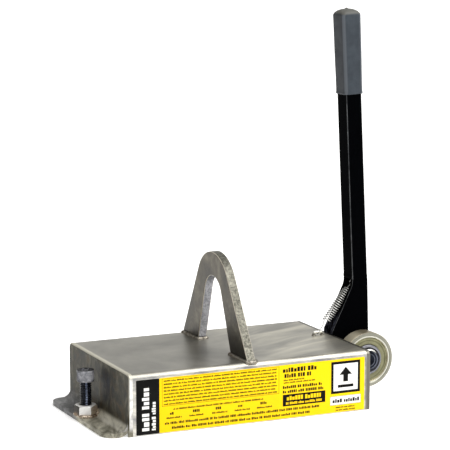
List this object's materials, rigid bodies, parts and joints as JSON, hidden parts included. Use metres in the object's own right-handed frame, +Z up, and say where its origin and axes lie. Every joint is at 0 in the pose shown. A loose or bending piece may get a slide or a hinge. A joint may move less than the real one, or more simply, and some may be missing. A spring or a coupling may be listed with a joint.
{
  "type": "lifting magnet",
  "caption": "Flat permanent lifting magnet in a steel housing, with a lifting eye, a sprung release lever on rollers and a jack screw at the toe.",
  "frame": {"origin": "centre of the magnet's bottom face, which meets the load", "axes": "+Z up from the load towards the lifting eye, +X along the housing towards the release lever, -Y towards the labelled side"},
  "size_m": [0.378, 0.1784, 0.4387],
  "materials": {
    "shell_steel": "mill",
    "eye_steel": "mill",
    "weld_metal": "as welded",
    "core_steel": "ground",
    "magnet": "matt",
    "spacer_brass": "ground",
    "potting": "matt",
    "black_oxide": "oiled",
    "zinc_steel": "zinc plated",
    "zinc_wire": "zinc plated",
    "bronze": "sintered",
    "turned_steel": "turned",
    "black_paint": "gloss",
    "grip_vinyl": "matt",
    "clip_steel": "phosphated",
    "bearing_steel": "ground",
    "shield_steel": "passivated",
    "ball_steel": "polished",
    "cage_steel": "pressed",
    "label_yellow": "gloss",
    "label_black": "gloss"
  },
  "bodies": {
    "housing": {"housing_shell": "shell_steel", "toe_end_plate": "shell_steel", "lever_end_plate": "shell_steel", "lifting_eye": "eye_steel", "eye_weld_beads": "weld_metal", "yoke_plate": "core_steel", "magnet_blocks": "magnet", "pole_shoes": "core_steel", "pole_spacers": "spacer_brass", "core_screws": "black_oxide", "potting_ring": "potting", "jack_nut": "zinc_steel", "jack_nut_weld": "weld_metal", "pivot_lug": "shell_steel", "lug_weld": "weld_metal", "pivot_bush": "bronze", "spring_staple": "zinc_wire", "rating_label": "label_yellow", "capacity_panel": "label_black"},
    "jack": {"jack_screw": "black_oxide"},
    "lever": {"lever_bar": "black_paint", "front_cheek": "black_paint", "rear_cheek": "black_paint", "fork_web": "black_paint", "lever_weld": "black_paint", "lever_grip": "grip_vinyl", "pivot_pin": "turned_steel", "roller_axle": "turned_steel", "axle_clips": "clip_steel", "spacer_washers": "turned_steel", "spring_pin": "turned_steel", "front_inner_ring": "bearing_steel", "rear_inner_ring": "bearing_steel"},
    "spring": {"return_spring": "zinc_wire"},
    "front_roller": {"front_roller_ring": "bearing_steel", "front_roller_shields": "shield_steel"},
    "front_ball_set": {"front_balls": "ball_steel", "front_ball_cage": "cage_steel"},
    "rear_roller": {"rear_roller_ring": "bearing_steel", "rear_roller_shields": "shield_steel"},
    "rear_ball_set": {"rear_balls": "ball_steel", "rear_ball_cage": "cage_steel"}
  },
  "joints": [
    {"name": "lever_tilt", "type": "hinge", "parent": "housing", "child": "lever", "pos_m": [0.156, 0.00605, 0.013], "axis": [0, 1, 0], "range_deg": [0, 60], "stiffness_Nm_per_rad": 2, "springref_deg": -34.38},
    {"name": "spring_stretch", "type": "slide", "parent": "lever", "child": "spring", "axis": [-0.5639, 0, -0.8259], "range_m": [0, 0.064], "deforming": ["return_spring"]},
    {"name": "jack_screw_travel", "type": "slide", "parent": "housing", "child": "jack", "axis": [0, 0, -1], "range_m": [-0.008, 0.0255]},
    {"name": "front_roller_spin", "type": "hinge", "parent": "lever", "child": "front_roller", "pos_m": [0.1762, 0.00605, 0.0393], "axis": [0, 1, 0], "continuous": true},
    {"name": "front_ball_orbit", "type": "hinge", "parent": "lever", "child": "front_ball_set", "pos_m": [0.1762, 0.00605, 0.0393], "axis": [0, 1, 0], "continuous": true},
    {"name": "rear_roller_spin", "type": "hinge", "parent": "lever", "child": "rear_roller", "pos_m": [0.1762, 0.00605, 0.0393], "axis": [0, 1, 0], "continuous": true},
    {"name": "rear_ball_orbit", "type": "hinge", "parent": "lever", "child": "rear_ball_set", "pos_m": [0.1762, 0.00605, 0.0393], "axis": [0, 1, 0], "continuous": true}
  ],
  "couplings": [
    {"joint": "spring_stretch", "follows": "lever_tilt", "m_per_rad": 0.060607},
    {"joint": "front_ball_orbit", "follows": "front_roller_spin", "ratio": 0.6274},
    {"joint": "rear_ball_orbit", "follows": "rear_roller_spin", "ratio": 0.6274}
  ]
}
